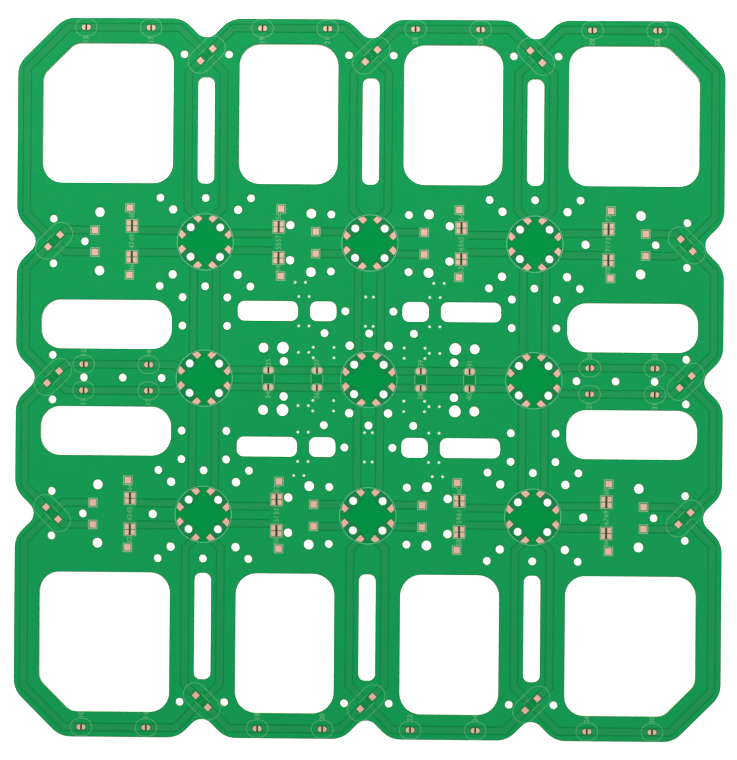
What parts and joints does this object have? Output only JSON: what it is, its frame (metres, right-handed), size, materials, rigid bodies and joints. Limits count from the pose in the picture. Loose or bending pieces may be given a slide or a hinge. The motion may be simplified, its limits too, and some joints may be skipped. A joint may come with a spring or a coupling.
{
  "type": "bare circuit board",
  "caption": "Flat bare printed circuit board with notched edges, large windows, ring footprints, copper pour and tracks, bare lands and white legend.",
  "frame": {"origin": "middle of the underside, below the centre of the middle ring footprint", "axes": "+Y along the long way of the board, +X to the right, +Z out of the face that carries the lands"},
  "size_m": [0.2576, 0.2622, 0.0017],
  "materials": {
    "bare_mask": "glossy green solder mask over bare laminate, with laminate-coloured edges",
    "mask": "glossy green solder mask over the copper pour",
    "track": "glossy green solder mask over copper tracks",
    "copper": "bare copper, slightly matt",
    "legend": "matt white printed ink"
  },
  "bodies": {
    "root": {"board": "bare_mask", "pour": "mask", "tracks": "track", "via_barrels": "copper", "ring_lands": "copper", "ring_legend": "legend", "capsule_lands": "copper", "capsule_legend": "legend", "jumper_lands": "copper", "jumper_legend": "legend", "centre_lands": "copper", "centre_legend": "legend", "quad_lands": "copper", "quad_legend": "legend", "square_lands": "copper", "square_legend": "legend"}
  },
  "joints": []
}
